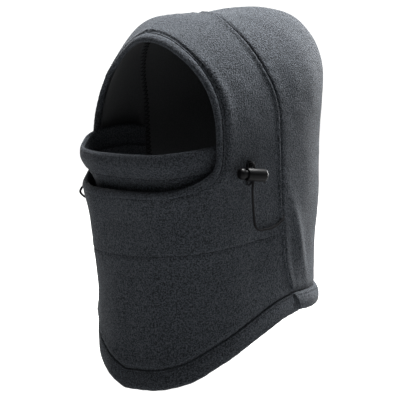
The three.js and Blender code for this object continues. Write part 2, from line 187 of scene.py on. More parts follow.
# smooth random height, the same on every run
def waves(points, size, seed, count=24):
    # sum of plane waves of about one wavelength: soft, unrepeating unevenness from -1 to 1
    rng = np.random.default_rng(seed)
    total = np.zeros(points.shape[:-1])
    for _ in range(count):
        direction = rng.normal(size=3)
        direction /= np.linalg.norm(direction)
        wavelength = size * rng.uniform(0.7, 1.5)
        phase = rng.uniform(0, 2 * math.pi)
        total += np.sin(points @ direction * (2 * math.pi / wavelength) + phase)
    return total / math.sqrt(count)


def bell(x, width):
    return np.exp(-((np.asarray(x) / width) ** 2))


def smoothStep(x, low, high):
    t = np.clip((np.asarray(x, float) - low) / (high - low), 0, 1)
    return t * t * (3 - 2 * t)


farSide = [(0.1, 0), (0.13, -0.001), (0.16, -0.0035), (0.176, -0.0048), (0.193, -0.0074), (0.21, -0.0066),
           (0.25, -0.0025), (0.28, 0.0012), (0.30, 0.0014), (0.32, -0.0020), (0.345, -0.0045)]
browTable = [(-180, 0), (-120, -0.001), (-90, -0.0025), (-75, -0.0045), (-60, -0.007), (-48, -0.0088),
             (-33, -0.0078), (-20, -0.0025), (-10, 0.004), (0, 0.008), (10, 0.009), (22, 0.009),
             (32, 0.007), (50, 0.002), (65, 0), (180, 0)]


def browLift(depth, turn):
    # the worn brow leans: fuller over the wearer's left eye, drawn in at the upper right corner
    up = (outlines["centre"] - depth) / outlines["up"]
    across = (np.mod(turn + math.pi, 2 * math.pi) - math.pi) / outlines["turn"]
    angle = np.arctan2(across, up)
    reach = np.maximum(np.hypot(up, across) - 1, 0)
    return smoothTable(browTable, angle / degree) * bell(reach, 0.17 + 0.25 * np.sin(angle) ** 2)


def farPull(depth, turn):
    # slack and drawn-in places on the wearer's right
    return smoothTable(farSide, depth) * bell(turn + 50 * degree, 0.45)


def clothPull(depth, turn):
    # what the pieces inside follow
    return np.minimum(farPull(depth, turn), 0) + browLift(depth, turn)


# mesh helpers
def addObject(name, vertices, faces, material, smooth=True):
    mesh = bpy.data.meshes.new(name)
    mesh.from_pydata([tuple(v) for v in vertices], [], [tuple(f) for f in faces])
    mesh.validate()
    mesh.update()
    if smooth:
        mesh.polygons.foreach_set("use_smooth", np.ones(len(mesh.polygons), bool))
    obj = bpy.data.objects.new(name, mesh)
    bpy.context.scene.collection.objects.link(obj)
    mesh.materials.append(material)
    return obj


def weldObject(obj, distance=1e-6):
    build = bmesh.new()
    build.from_mesh(obj.data)
    bmesh.ops.remove_doubles(build, verts=build.verts, dist=distance)
    bmesh.ops.dissolve_degenerate(build, edges=build.edges, dist=distance)
    bmesh.ops.recalc_face_normals(build, faces=build.faces)
    build.to_mesh(obj.data)
    build.free()


def gridFaces(rows, columns, wrapRows, wrapColumns, offset=0, flip=False):
    r = np.arange(rows if wrapRows else rows - 1)
    c = np.arange(columns if wrapColumns else columns - 1)
    rr, cc = np.meshgrid(r, c, indexing="ij")
    nextR, nextC = (rr + 1) % rows, (cc + 1) % columns
    here, below = rr * columns, nextR * columns
    quads = np.stack([here + cc, here + nextC, below + nextC, below + cc], -1).reshape(-1, 4) + offset
    return quads[:, ::-1] if flip else quads


def clothShell(name, outer, inner, material, wrapColumns=False):
    # closed cloth from an outer and an inner grid of points, joined all round the edge
    rows, columns = outer.shape[:2]
    count = rows * columns
    faces = [gridFaces(rows, columns, False, wrapColumns)]
    faces.append(gridFaces(rows, columns, False, wrapColumns, count, True))

    def strip(edge):
        a = np.array(edge[:-1])
        b = np.array(edge[1:])
        return np.stack([b, a, a + count, b + count], -1)

    top = list(range(columns))
    bottom = [(rows - 1) * columns + c for c in range(columns)]
    if wrapColumns:
        top.append(top[0])
        bottom.append(bottom[0])
    faces.append(strip(top))
    faces.append(strip(bottom)[:, ::-1])
    if not wrapColumns:
        left = [r * columns for r in range(rows)]
        right = [r * columns + columns - 1 for r in range(rows)]
        faces.append(strip(left)[:, ::-1])
        faces.append(strip(right))
    vertices = np.concatenate([outer.reshape(-1, 3), inner.reshape(-1, 3)])
    obj = addObject(name, vertices, np.concatenate(faces), material)
    weldObject(obj)
    return obj


def ringsAlong(path, sides, start=None, closed=False):
    # unit circles square to a path, carried along it without twisting
    if closed:
        tangent = np.roll(path, -1, 0) - np.roll(path, 1, 0)
    else:
        tangent = np.gradient(path, axis=0)
    tangent /= np.linalg.norm(tangent, axis=1, keepdims=True)
    if start is None:
        start = (0.0, 0.0, 1.0) if abs(tangent[0][2]) < 0.9 else (0.0, 1.0, 0.0)
    current = np.array(start)
    normals = []
    for t in tangent:
        current = current - t * (current @ t)
        current = current / np.linalg.norm(current)
        normals.append(current)
    normals = np.array(normals)
    binormal = np.cross(tangent, normals)
    angles = np.arange(sides) / sides * 2 * math.pi
    ring = normals[:, None, :] * np.cos(angles)[None, :, None]
    return ring + binormal[:, None, :] * np.sin(angles)[None, :, None], angles


def tubeFaces(count, sides, closed=False):
    faces = [list(f) for f in gridFaces(count, sides, closed, True)]
    if not closed:
        faces.append(list(range(sides))[::-1])
        faces.append([(count - 1) * sides + k for k in range(sides)])
    return faces


def sweep(name, path, radius, sides, material, closed=False):
    # round tube along points; radius may be one number or one for each point
    path = np.asarray(path, float)
    radius = np.broadcast_to(np.asarray(radius, float), (len(path),))
    ring, _ = ringsAlong(path, sides, closed=closed)
    points = path[:, None, :] + ring * radius[:, None, None]
    obj = addObject(name, points.reshape(-1, 3), tubeFaces(len(path), sides, closed), material)
    build = bmesh.new()
    build.from_mesh(obj.data)
    bmesh.ops.recalc_face_normals(build, faces=build.faces)
    build.to_mesh(obj.data)
    build.free()
    return obj


def splinePoints(points, spacing):
    # smooth curve through given points, at even steps
    p = np.asarray(points, float)
    ends = np.concatenate([[2 * p[0] - p[1]], p, [2 * p[-1] - p[-2]]])
    fine = []
    for k in range(1, len(ends) - 2):
        a, b, c, d = ends[k - 1], ends[k], ends[k + 1], ends[k + 2]
        ta = np.linalg.norm(b - a) ** 0.5
        tb = np.linalg.norm(c - b) ** 0.5
        tc = np.linalg.norm(d - c) ** 0.5
        m1 = (c - b) + tb * ((b - a) / ta - (c - a) / (ta + tb))
        m2 = (c - b) + tb * ((d - c) / tc - (d - b) / (tb + tc))
        for t in np.arange(0, 1, 0.05):
            h = [2 * t**3 - 3 * t**2 + 1, t**3 - 2 * t**2 + t, 3 * t**2 - 2 * t**3, t**3 - t**2]
            fine.append(h[0] * b + h[1] * m1 + h[2] * c + h[3] * m2)
    fine.append(p[-1])
    fine = np.array(fine)
    steps = np.linalg.norm(np.diff(fine, axis=0), axis=1)
    distance = np.concatenate([[0], np.cumsum(steps)])
    count = max(int(distance[-1] / spacing), 8)
    even = np.linspace(0, distance[-1], count + 1)
    return np.stack([np.interp(even, distance, fine[:, k]) for k in range(3)], -1)


# camera
view = {"azimuth": 43 * degree, "elevation": 6 * degree, "distance": 1.3,
        "target": (-0.0097, -0.0091, -0.177), "sensor": 36, "lens": 122.85}


def placeCamera():
    azimuth, elevation, distance = view["azimuth"], view["elevation"], view["distance"]
    target = Vector(view["target"])
    back = Vector((math.sin(azimuth) * math.cos(elevation), -math.cos(azimuth) * math.cos(elevation),
                   math.sin(elevation)))
    data = bpy.data.cameras.new("camera")
    data.sensor_width = view["sensor"]
    data.lens = view["lens"]
    camera = bpy.data.objects.new("camera", data)
    camera.location = target + back * distance
    camera.rotation_euler = back.to_track_quat("Z", "Y").to_euler()
    bpy.context.scene.collection.objects.link(camera)
    bpy.context.scene.camera = camera


placeCamera()
print("camera placed")


# materials
def newMaterial(name):
    material = bpy.data.materials.new(name)
    material.use_nodes = True
    nodes = material.node_tree.nodes
    nodes.clear()
    output = nodes.new("ShaderNodeOutputMaterial")
    shader = nodes.new("ShaderNodeBsdfPrincipled")
    material.node_tree.links.new(shader.outputs["BSDF"], output.inputs["Surface"])
    return material, shader


def addNoise(material, scale, detail, roughness):
    nodes, links = material.node_tree.nodes, material.node_tree.links
    place = nodes.new("ShaderNodeTexCoord")
    noise = nodes.new("ShaderNodeTexNoise")
    noise.inputs["Scale"].default_value = scale
    noise.inputs["Detail"].default_value = detail
    noise.inputs["Roughness"].default_value = roughness
    links.new(place.outputs["Object"], noise.inputs["Vector"])
    return noise.outputs["Fac"]


def addMath(material, operation, a, b):
    node = material.node_tree.nodes.new("ShaderNodeMath")
    node.operation = operation
    for socket, value in zip(node.inputs, (a, b)):
        if isinstance(value, (int, float)):
            socket.default_value = value
        else:
            material.node_tree.links.new(value, socket)
    return node.outputs["Value"]


def addRamp(material, value, stops):
    ramp = material.node_tree.nodes.new("ShaderNodeValToRGB")
    elements = ramp.color_ramp.elements
    while len(elements) < len(stops):
        elements.new(0.5)
    for element, (place, colour) in zip(elements, stops):
        element.position = place
        element.color = (*colour, 1)
    material.node_tree.links.new(value, ramp.inputs["Fac"])
    return ramp.outputs["Color"]


def addBump(material, shader, height, strength, distance):
    bump = material.node_tree.nodes.new("ShaderNodeBump")
    bump.inputs["Strength"].default_value = strength
    bump.inputs["Distance"].default_value = distance
    material.node_tree.links.new(height, bump.inputs["Height"])
    material.node_tree.links.new(bump.outputs["Normal"], shader.inputs["Normal"])


def fleeceMaterial(name, dark, light, sheen, grain=1.0):
    # napped fleece: clumps of fibre about a millimetre across, slightly lighter at their tips
    material, shader = newMaterial(name)
    clumps = addNoise(material, 760, 1.5, 0.55)
    tufts = addNoise(material, 1600, 1.5, 0.6)
    mixed = addMath(material, "MULTIPLY", clumps, 0.6)
    mixed = addMath(material, "ADD", mixed, addMath(material, "MULTIPLY", tufts, 0.4))
    colour = addRamp(material, mixed, [(0.41, dark), (0.61, light)])
    material.node_tree.links.new(colour, shader.inputs["Base Color"])
    shader.inputs["Roughness"].default_value = 0.95
    shader.inputs["Specular IOR Level"].default_value = 0.12
    shader.inputs["Sheen Weight"].default_value = sheen
    shader.inputs["Sheen Roughness"].default_value = 0.45
    shader.inputs["Sheen Tint"].default_value = (0.72, 0.78, 0.88, 1)
    addBump(material, shader, mixed, 1.0, 0.0030 * grain)
    return material


def knitMaterial():
    # smooth near-black knit: faint columns of loops
    material, shader = newMaterial("innerJersey")
    grain = addNoise(material, 900, 2.0, 0.5)
    colour = addRamp(material, grain, [(0.3, (0.018, 0.019, 0.0205)), (0.75, (0.032, 0.0335, 0.036))])
    material.node_tree.links.new(colour, shader.inputs["Base Color"])
    shader.inputs["Roughness"].default_value = 0.92
    shader.inputs["Specular IOR Level"].default_value = 0.12
    shader.inputs["Sheen Weight"].default_value = 0.08
    addBump(material, shader, grain, 0.4, 0.0003)
    return material


def threadMaterial(name, dark, light, roughness):
    material, shader = newMaterial(name)
    fibres = addNoise(material, 2600, 2.0, 0.6)
    colour = addRamp(material, fibres, [(0.35, dark), (0.7, light)])
    material.node_tree.links.new(colour, shader.inputs["Base Color"])
    shader.inputs["Roughness"].default_value = roughness
    shader.inputs["Specular IOR Level"].default_value = 0.08
    addBump(material, shader, fibres, 0.4, 0.0001)
    return material


def plasticMaterial():
    # moulded black plastic: glossy with a barely uneven skin
    material, shader = newMaterial("lockPlastic")
    uneven = addNoise(material, 420, 3.0, 0.5)
    colour = addRamp(material, uneven, [(0.3, (0.002, 0.002, 0.0022)), (0.7, (0.004, 0.004, 0.0044))])
    material.node_tree.links.new(colour, shader.inputs["Base Color"])
    shader.inputs["Roughness"].default_value = 0.40
    shader.inputs["Specular IOR Level"].default_value = 0.06
    addBump(material, shader, uneven, 0.12, 0.0001)
    return material


def steelMaterial():
    material, shader = newMaterial("springSteel")
    marks = addNoise(material, 1800, 2.0, 0.5)
    colour = addRamp(material, marks, [(0.3, (0.45, 0.45, 0.47)), (0.7, (0.62, 0.62, 0.64))])
    material.node_tree.links.new(colour, shader.inputs["Base Color"])
    shader.inputs["Metallic"].default_value = 1.0
    shader.inputs["Roughness"].default_value = 0.3
    return material


fleece = fleeceMaterial("outerFleece", (0.0046, 0.0055, 0.0068), (0.0420, 0.0475, 0.0555), 0.05)
maskFleece = fleeceMaterial("maskFleece", (0.0046, 0.0055, 0.0068), (0.0375, 0.0425, 0.0500), 0.05)
edgeFleece = fleeceMaterial("edgeBinding", (0.0046, 0.0055, 0.0068), (0.0375, 0.0425, 0.0500), 0.05, 0.8)
jersey = knitMaterial()
seamThread = threadMaterial("seamThread", (0.004, 0.0042, 0.005), (0.011, 0.012, 0.014), 0.85)
cordBraid = threadMaterial("elasticCord", (0.003, 0.003, 0.0033), (0.008, 0.008, 0.009), 0.9)
plastic = plasticMaterial()
steel = steelMaterial()
print("materials made")


# cords, their routes repeated from the frame
cords = {
    "radius": 0.0011, "step": 0.0003, "sides": 18,
    "strands": 4, "braidTurn": 0.0032, "startSide": (0.3, 0.2, 0.93),
    "leftLoop": [(0.0875, -0.0015, -0.1855), (0.0882, -0.006, -0.1891), (0.0881, -0.0106, -0.1921),
                 (0.0879, -0.019, -0.1946), (0.0878, -0.027, -0.1951), (0.0875, -0.0346, -0.1951),
                 (0.0876, -0.0399, -0.1926), (0.0878, -0.0426, -0.1881), (0.0886, -0.0447, -0.1806),
                 (0.0904, -0.0476, -0.1715), (0.09313, -0.05151, -0.16341),
                 (0.09525, -0.05422, -0.15631), (0.09545, -0.05363, -0.14984)],
    "rightLoop": [(-0.0875, -0.0015, -0.1855), (-0.0883, -0.0042, -0.1863), (-0.09, -0.0095, -0.1876),
                 (-0.0922, -0.0165, -0.189), (-0.0948, -0.0256, -0.1896), (-0.0974, -0.0378, -0.1876),
                 (-0.1002, -0.0514, -0.1835), (-0.1024, -0.0642, -0.1786), (-0.1035, -0.0734, -0.1746),
                 (-0.1039, -0.077, -0.1702), (-0.1027, -0.075, -0.1658), (-0.09985, -0.06382, -0.16251),
                 (-0.09695, -0.05782, -0.16051), (-0.0955, -0.05497, -0.15831),
                 (-0.09525, -0.05422, -0.15631), (-0.09545, -0.05363, -0.14984)],
    "throughLock": [(0.09563, -0.05309, -0.14387), (0.09577, -0.05267, -0.13919),
                 (0.09558, -0.05235, -0.1368), (0.09488, -0.0519, -0.135), (0.09328, -0.0513, -0.134),
                 (0.09078, -0.0504, -0.1339), (0.08868, -0.0498, -0.1352), (0.08758, -0.0498, -0.1385),
                 (0.08618, -0.0496, -0.1413), (0.08418, -0.0492, -0.1441), (0.08228, -0.0488, -0.1471),
                 (0.08098, -0.0487, -0.1502), (0.08048, -0.0488, -0.1528)],
    "lipHalf": [(0.08038, -0.0488, -0.1532), (0.08018, -0.0491, -0.1546),
                 (0.07977, -0.05138, -0.15627), (0.07879, -0.0578, -0.15655),
                 (0.07719, -0.0672, -0.1575), (0.07388, -0.08091, -0.15945), (0.068, -0.0938, -0.1639),
                 (0.0498, -0.1103, -0.1702), (0.0255, -0.116, -0.1722), (0, -0.1165, -0.1725)],
}


def acrossBody(points):
    return [(-x, y, z) for x, y, z in points]


def braidedCord(name, route):
    # braided sheath: two crossing sets of raised strands around a round cord
    step, sides = cords["step"], cords["sides"]
    path = splinePoints(route, step)
    ring, angles = ringsAlong(path, sides, cords["startSide"])
    along = np.arange(len(path)) * step
    turned = along[:, None] / cords["braidTurn"] * 2 * math.pi
    strands = cords["strands"] * angles[None, :]
    weave = np.sin(strands + turned) * np.sin(strands - turned)
    radius = cords["radius"] * (0.97 + 0.07 * weave)
    points = path[:, None, :] + ring * radius[..., None]
    obj = addObject(name, points.reshape(-1, 3), tubeFaces(len(path), sides), cordBraid)
    weldObject(obj, 1e-7)
    return obj, path


cordPaths = {}
for label, sign in (("left", 1), ("right", -1)):
    loop = cords["leftLoop"] if sign > 0 else cords["rightLoop"]
    through = cords["throughLock"] if sign > 0 else acrossBody(cords["throughLock"])
    loopCord, path = braidedCord(label + "CordLoop", loop + through)
    cordPaths[label] = (loopCord, path)
    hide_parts(label + "_cord_loop")
    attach(loopCord, "hood")

lipRoute = np.array(cords["lipHalf"] + acrossBody(cords["lipHalf"])[-2::-1])
lipDepth = hoodShape["crown"] - lipRoute[:, 2]
lipTurn = np.arctan2(lipRoute[:, 0], -lipRoute[:, 1])
lipRoute = lipRoute + surfaceNormal(lipDepth, lipTurn) * clothPull(lipDepth, lipTurn)[:, None]
lipCord, _ = braidedCord("lipCord", lipRoute)
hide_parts("lip_cord")
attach(lipCord, "hood")
print("cords laid")


# shapes that several cloth pieces share
slack = {
    # height, size and seed of each unevenness
    "broad": (0.0007, 0.085, 3), "soft": (0.00018, 0.030, 5), "fine": (0.00004, 0.008, 7),
    "neck": (0.0006, 0.045, 11), "neckFrom": 0.12, "neckTo": 0.20, "neckStretch": (1, 1, 0.22),
    # a hollow at the middle of the crown, and a puffed place beside it: where, how high, how wide
    "hollowAt": (-0.010, -0.006, 0), "hollowScale": (0.9, 1, 0.6), "hollow": (-0.0042, 0, 0.026),
    "puffAt": (-0.034, -0.053, -0.011), "puff": (0.0060, 0, 0.026),
}


def fold(x, shape):
    # one raised or sunk line across x: height, place, width
    height, place, width = shape
    return height * bell(x - place, width)


def unevenness(points, shape):
    height, size, seed = shape
    return height * waves(points, size, seed)


def drape(points, depth, turn):
    # how far the worn cloth lies off its smooth shape
    lift = sum(unevenness(points, slack[name]) for name in ("broad", "soft", "fine"))
    hollow = np.linalg.norm((points - np.array(slack["hollowAt"])) * np.array(slack["hollowScale"]), axis=-1)
    puff = np.linalg.norm(points - np.array(slack["puffAt"]), axis=-1)
    lift = lift + fold(hollow, slack["hollow"]) + fold(puff, slack["puff"])
    lift = lift + browLift(depth, turn) + farPull(depth, turn)
    neck = smoothStep(depth, slack["neckFrom"], slack["neckTo"])
    return lift + neck * unevenness(points * np.array(slack["neckStretch"]), slack["neck"])


def seamPoint(station, margin):
    # a point beside the side seam; margin is towards the front, and negative behind the seam
    station = np.asarray(station, float)
    depth = seamDepth(np.clip(station, 0, 1))
    step = 0.004
    before, after = seamDepth(np.clip(station - step, 0, 1)), seamDepth(np.clip(station + step, 0, 1))
    place = surfacePoint(depth, seamTurn(depth))
    axis = np.stack([np.zeros_like(depth), smoothTable(hoodShape["shift"], depth)], -1)
    reach = np.linalg.norm(place[..., :2] - axis, axis=-1)
    down = arcOf(after) - arcOf(before)
    sideways = (seamTurn(after) - seamTurn(before)) * reach
    size = np.hypot(down, sideways)
    arc = arcOf(depth) + margin * sideways / size
    return depthOf(np.maximum(arc, 0)), seamTurn(depth) - margin * down / size / reach


seamShare = 0.7


hemRise = [(0, 0), (8, 0.006), (16, 0.0122), (24, 0.018), (34, 0.0215), (48, 0.0205), (62, 0.016), (80, 0.008),
           (95, 0.0015), (106, 0)]


def hemLevel(around):
    # depth of the front hem's bottom edge; it rides up on the wearer's right
    reach = np.abs(around)
    return smoothTable(outlines["hemLine"], reach) - np.where(around < 0, smoothTable(hemRise, reach), 0)


def frontEdge(station, margin, mirror):
    station = np.asarray(station, float)
    seamStation = np.clip(station / seamShare, 0, 1)
    depth, turn = seamPoint(seamStation, margin)
    depth = np.where(station <= seamShare, np.minimum(depth, outlines["corner"] - margin), depth)
    rest = np.clip((1 - station) / (1 - seamShare), 0, 1)
    cornerTurn = seamTurn(outlines["corner"])
    level = hemLevel(rest * 106 * mirror) - outlines["hem"]
    hemTurn = np.maximum(rest * (cornerTurn - margin / 0.088), 0)
    inSeam = station <= seamShare
    tucked = level + 0.0006 - 4 * margin * bell(rest - 1, 0.03)
    return np.where(inSeam, depth, tucked), np.where(inSeam, np.maximum(turn, 0), hemTurn)


def lipShare(angle):
    # 0 along the sides and top of the opening, 1 along the lip
    turned = np.minimum(np.asarray(angle) % (2 * math.pi), 2 * math.pi - np.asarray(angle) % (2 * math.pi))
    return smoothStep(turned, 100 * degree, 128 * degree)


neckSeam = [(-90, 0.218), (-47, 0.2200), (-10, 0.2225), (15, 0.2210), (45, 0.2150), (90, 0.2050)]


def neckLine(turn):
    # depth of the sewn line across the front of the neck
    return smoothTable(neckSeam, np.asarray(turn) / degree)


def columnDistance(points, fromEnd):
    steps = np.linalg.norm(np.diff(points, axis=0), axis=-1)
    total = np.concatenate([np.zeros((1,) + steps.shape[1:]), np.cumsum(steps, axis=0)])
    return total[-1] - total if fromEnd else total


def frontGrid(shape):
    rows, columns = shape["rows"], shape["columns"]
    openingMargin, edgeMargin = shape["openingMargin"], shape["edgeMargin"]
    # from the middle of the hem up the left seam to the top, and down the right seam again
    order = np.linspace(1, -1, columns, endpoint=False)
    station = np.abs(order)
    mirror = np.sign(order)
    around = station * math.pi
    innerDepth, innerTurn = openingAt(around, openingMargin - 0.0010 * lipShare(around))
    outerDepth, outerTurn = frontEdge(station, edgeMargin, mirror)
    row = np.linspace(0, 1, rows)[:, None]
    arc = arcOf(innerDepth) * (1 - row) + arcOf(outerDepth) * row
    turn = (innerTurn * (1 - row) + outerTurn * row) * mirror
    return depthOf(arc), turn, station


frontPanelShape = {
    "rows": 84, "columns": 560, "thickness": 0.0024, "openingMargin": 0.0030, "edgeMargin": 0.00025,
    # each fold is height, place, width; the pucker pitches are metres along the edge
    "seamPitch": 0.0085, "openingPitch": 0.006, "crownPitch": 0.0055,
    "seamRidge": (0.0016, 0.0035, 0.0030), "seamDive": (-0.0026, 0, 0.0016),
    "seamPuckers": (0.00014, 0.005, 0.005),
    "hemDive": (-0.0018, 0, 0.0022), "hemRidge": (0.0009, 0.006, 0.004), "hemPuckers": (0.0004, 0.004, 0.006),
    "drawnIn": (-0.0009, 0.0020, 0.0010), "besideEdge": (0.0006, 0.006, 0.004),
    "edgePuckers": (0.00015, 0.004, 0.005),
    "lipRoll": (0.0012, 0.004, 0.008), "lipRipple": (0.0004, 0.012, 0.012),
    "crownSeam": (-0.0013, 0, 0.0011), "besideCrownSeam": (1, 0.0035, 0.0025), "crownSeamDepth": 0.03,
    "neckLine": (-0.0008, 0, 0.0009), "besideNeckLine": (0.00030, 0.0035, 0.003),
    "neckTucks": (0.00016, 0, 0.007),
    "edgeFold": (0.0017, 0.0095, 0.0060), "edgeFoldDepth": (1, 0.075, 0.05),
    "lowFold": (0.0016, -38 * degree, 0.09), "lowFoldDepth": (1, 0.29, 0.03),
}


def pitched(along, pitch, sway, rate):
    # puckers along an edge, unevenly spaced
    return np.sin(along * 2 * math.pi / pitch + sway * np.sin(along * rate))


def edgeLift(shape, edgeDistance, along, hemPart):
    # the front edge stands proud along the side seam and dives into it; the other part goes into the hem
    puckers = pitched(along, shape["seamPitch"], 2.2, 40)
    seam = fold(edgeDistance, shape["seamRidge"]) + fold(edgeDistance, shape["seamDive"])
    seam = seam + puckers * fold(edgeDistance, shape["seamPuckers"])
    hem = fold(edgeDistance, shape["hemDive"]) + fold(edgeDistance, shape["hemRidge"])
    hem = hem + puckers * fold(edgeDistance, shape["hemPuckers"])
    return np.where(hemPart, hem, seam)


def openingLift(shape, openingDistance, along, station):
    # drawn in by its stitching at the sides and top, a soft roll round its cord at the lip
    lip = lipShare(station * math.pi)[None, :]
    sides = fold(openingDistance, shape["drawnIn"]) + fold(openingDistance, shape["besideEdge"])
    puckers = pitched(along, shape["openingPitch"], 1.7, 55)
    sides = sides + puckers * fold(openingDistance, shape["edgePuckers"])
    roll = fold(openingDistance, shape["lipRoll"])
    roll = roll + np.sin(along * 60) * fold(openingDistance, shape["lipRipple"])
    return sides * (1 - lip) + roll * lip


def sewnLift(shape, depth, turn, points):
    # the short seam over the crown, and the sewn line across the neck with small tucks on both sides
    across, forward = points[..., 0], points[..., 1]
    onCrown = (depth < shape["crownSeamDepth"]) * (forward < 0)
    tucks = 0.0006 + 0.0003 * np.sin(forward * 2 * math.pi / shape["crownPitch"])
    crown = fold(across, shape["crownSeam"]) + tucks * fold(np.abs(across), shape["besideCrownSeam"])
    gap = depth - neckLine(turn)
    neck = fold(gap, shape["neckLine"]) + fold(np.abs(gap), shape["besideNeckLine"])
    neck = neck + np.sin(turn * 95 + 2 * np.sin(turn * 17)) * fold(gap, shape["neckTucks"])
    return crown * onCrown + neck * smoothStep(np.abs(turn), 92 * degree, 80 * degree)


def foldLift(shape, depth, turn, openingDistance):
    # a puffed fold beside the opening's edge on the left, and a short one low on the right
    puffed = smoothStep(turn, 20 * degree, 40 * degree) * fold(depth, shape["edgeFoldDepth"])
    low = fold(turn, shape["lowFold"]) * fold(depth, shape["lowFoldDepth"])
    return puffed * fold(openingDistance, shape["edgeFold"]) + low


def makeFrontPanel(shape):
    depth, turn, station = frontGrid(shape)
    base = skin(depth, turn)
    edgeDistance = columnDistance(base, True)
    openingDistance = columnDistance(base, False)
    steps = np.linalg.norm(np.diff(base[-1], axis=0), axis=-1)
    along = np.concatenate([[0], np.cumsum(steps)])[None, :]
    lift = drape(base, depth, turn) + edgeLift(shape, edgeDistance, along, (station > seamShare)[None, :])
    lift = lift + openingLift(shape, openingDistance, along, station)
    lift = lift + sewnLift(shape, depth, turn, base) + foldLift(shape, depth, turn, openingDistance)
    outer = skin(depth, turn, lift)
    inner = skin(depth, turn, np.minimum(lift, 0.0006) - shape["thickness"])
    return clothShell("frontPanel", outer, inner, fleece, True)


frontPanel = makeFrontPanel(frontPanelShape)
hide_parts("front_panel")
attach(frontPanel, "hood")
print("front panel made")


# back panel
backPanelShape = {
    "capRows": 16, "rows": 190, "columns": 210, "thickness": 0.0024, "edgeMargin": 0.00025, "seamRows": 40,
    "seamRidge": (0.0004, 0.006, 0.007), "seamDive": (-0.0016, 0, 0.0011),
    "seamPuckers": (0.00016, 0.005, 0.006), "seamPitch": 0.0105,
    # a slanting fold and the hollow before it, behind each side seam over the neck
    "fold": (0.0026, 0, 0.085), "foldDepth": (1, 0.212, 0.036), "foldTurn": 99 * degree, "foldFrom": 0.18,
    "foldSlant": 4.4,
    "hollow": (-0.0010, 0, 0.05), "hollowDepth": (1, 0.235, 0.03), "hollowTurn": 96 * degree,
    "hollowFrom": 0.2, "hollowSlant": 2.5,
    "hemDive": (-0.0022, 0, 0.0026), "inHem": 0.0016,
}


def backGrid(shape, margin):
    station = np.linspace(0, 1, shape["rows"])
    edgeDepth, edgeTurn = seamPoint(station, -margin)
    edgeDepth = np.minimum(edgeDepth, outlines["corner"] - 0.0002)
    edgeDepth[-1] = outlines["corner"] + shape.get("inHem", 0)
    cap = np.linspace(0, 1, shape["capRows"], endpoint=False)
    capDepth = depthOf(arcOf(edgeDepth[0]) * np.maximum(cap, 0.01))
    depth = np.concatenate([capDepth, edgeDepth])
    edge = np.concatenate([np.zeros(shape["capRows"]), np.maximum(edgeTurn, 0)])
    turn = edge[:, None] + (2 * math.pi - 2 * edge[:, None]) * np.linspace(0, 1, shape["columns"])[None, :]
    return np.broadcast_to(depth[:, None], turn.shape), turn


def backLift(shape, depth, turn, points, edgeDistance):
    sign = np.where(np.sin(turn) > 0, 1, -1)
    down = arcOf(depth)
    puckers = np.sin(down * 2 * math.pi / shape["seamPitch"] + 2 * np.sin(down * 35) + sign)
    lift = drape(points, depth, turn)
    lift = lift + fold(edgeDistance, shape["seamRidge"]) + fold(edgeDistance, shape["seamDive"])
    lift = lift + puckers * fold(edgeDistance, shape["seamPuckers"])
    around = np.minimum(turn, 2 * math.pi - turn)
    for name in ("fold", "hollow"):
        slant = around - shape[name + "Turn"] - (depth - shape[name + "From"]) * shape[name + "Slant"]
        lift = lift + fold(slant, shape[name]) * fold(depth, shape[name + "Depth"])
    return lift + fold(np.maximum(outlines["corner"] - depth, 0), shape["hemDive"])


def makeBackPanel(shape):
    depth, turn = backGrid(shape, shape["edgeMargin"])
    base = skin(depth, turn)
    around = np.linalg.norm(np.diff(base, axis=1), axis=-1)
    fromLeft = np.concatenate([np.zeros((base.shape[0], 1)), np.cumsum(around, axis=1)], axis=1)
    edgeDistance = np.minimum(fromLeft, fromLeft[:, -1:] - fromLeft)
    # over the cap the seam's front end is the nearest edge
    firstSeam = skin(*seamPoint(np.linspace(0, 0.16, 60), 0))
    seamTop = np.concatenate([firstSeam, firstSeam * np.array([-1, 1, 1])])
    cap, last = shape["capRows"], shape["capRows"] + shape["seamRows"]
    nearest = np.min(np.linalg.norm(base[:last, :, None, :] - seamTop[None, None, :, :], axis=-1), axis=-1)
    edgeDistance[:cap] = nearest[:cap]
    edgeDistance[cap:last] = np.minimum(edgeDistance[cap:last], nearest[cap:])
    lift = backLift(shape, depth, turn, base, edgeDistance)
    outer = skin(depth, turn, lift)
    inner = skin(depth, turn, np.minimum(lift, 0.0006) - shape["thickness"])
    return clothShell("backPanel", outer, inner, fleece)


backPanel = makeBackPanel(backPanelShape)
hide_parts("back_panel")
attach(backPanel, "hood")
print("back panel made")


# linings
liningShape = {
    "rows": 50, "columns": 320, "openingMargin": 0.0043, "edgeMargin": 0.0013,
    "under": -0.0035, "thickness": 0.001,
    "frontSag": (0.0005, 0.05, 21), "backSag": (0.0006, 0.05, 22),
    "back": {"capRows": 10, "rows": 120, "columns": 130},
}


def makeFrontLining(shape):
    depth, turn, _ = frontGrid(shape)
    sag = shape["under"] + np.minimum(unevenness(skin(depth, turn), shape["frontSag"]), 0)
    sag = sag + clothPull(depth, turn)
    inner = skin(depth, turn, sag - shape["thickness"])
    return clothShell("frontLining", skin(depth, turn, sag), inner, jersey, True)


def makeBackLining(shape):
    depth, turn = backGrid(shape["back"], shape["edgeMargin"])
    sag = shape["under"] + np.minimum(unevenness(skin(depth, turn), shape["backSag"]), 0)
    inner = skin(depth, turn, sag - shape["thickness"])
    return clothShell("backLining", skin(depth, turn, sag), inner, jersey)


frontLining = makeFrontLining(liningShape)
backLining = makeBackLining(liningShape)
for lining, node in ((frontLining, "front_lining"), (backLining, "back_lining")):
    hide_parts(node)
    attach(lining, "hood")
print("linings made")


